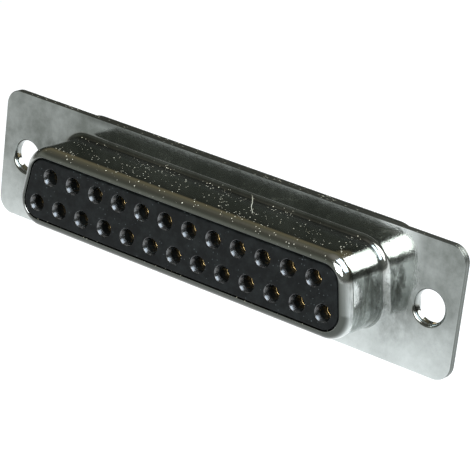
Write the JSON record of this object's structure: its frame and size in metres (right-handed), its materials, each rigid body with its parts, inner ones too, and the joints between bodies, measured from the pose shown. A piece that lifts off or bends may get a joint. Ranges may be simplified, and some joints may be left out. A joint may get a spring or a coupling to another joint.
{
  "type": "d-sub connector",
  "caption": "D-shaped socket connector with two rows of contacts, a flanged steel shell with screw holes, and solder cups behind.",
  "frame": {"origin": "centre of the flange's front face, midway between the screw holes", "axes": "+X along the rows, +Z towards the short row, and the mating side faces -Y"},
  "size_m": [0.053, 0.0165, 0.0126],
  "materials": {
    "plated_steel": "bright plated, slightly cloudy",
    "black_plastic": "moulded, satin",
    "plated_brass": "thin gold plate"
  },
  "bodies": {
    "root": {"front_shell": "plated_steel", "rear_shell": "plated_steel", "front_insulator": "black_plastic", "rear_insulator": "black_plastic", "contact_01": "plated_brass", "contact_02": "plated_brass", "contact_03": "plated_brass", "contact_04": "plated_brass", "contact_05": "plated_brass", "contact_06": "plated_brass", "contact_07": "plated_brass", "contact_08": "plated_brass", "contact_09": "plated_brass", "contact_10": "plated_brass", "contact_11": "plated_brass", "contact_12": "plated_brass", "contact_13": "plated_brass", "contact_14": "plated_brass", "contact_15": "plated_brass", "contact_16": "plated_brass", "contact_17": "plated_brass", "contact_18": "plated_brass", "contact_19": "plated_brass", "contact_20": "plated_brass", "contact_21": "plated_brass", "contact_22": "plated_brass", "contact_23": "plated_brass", "contact_24": "plated_brass", "contact_25": "plated_brass"}
  },
  "joints": []
}
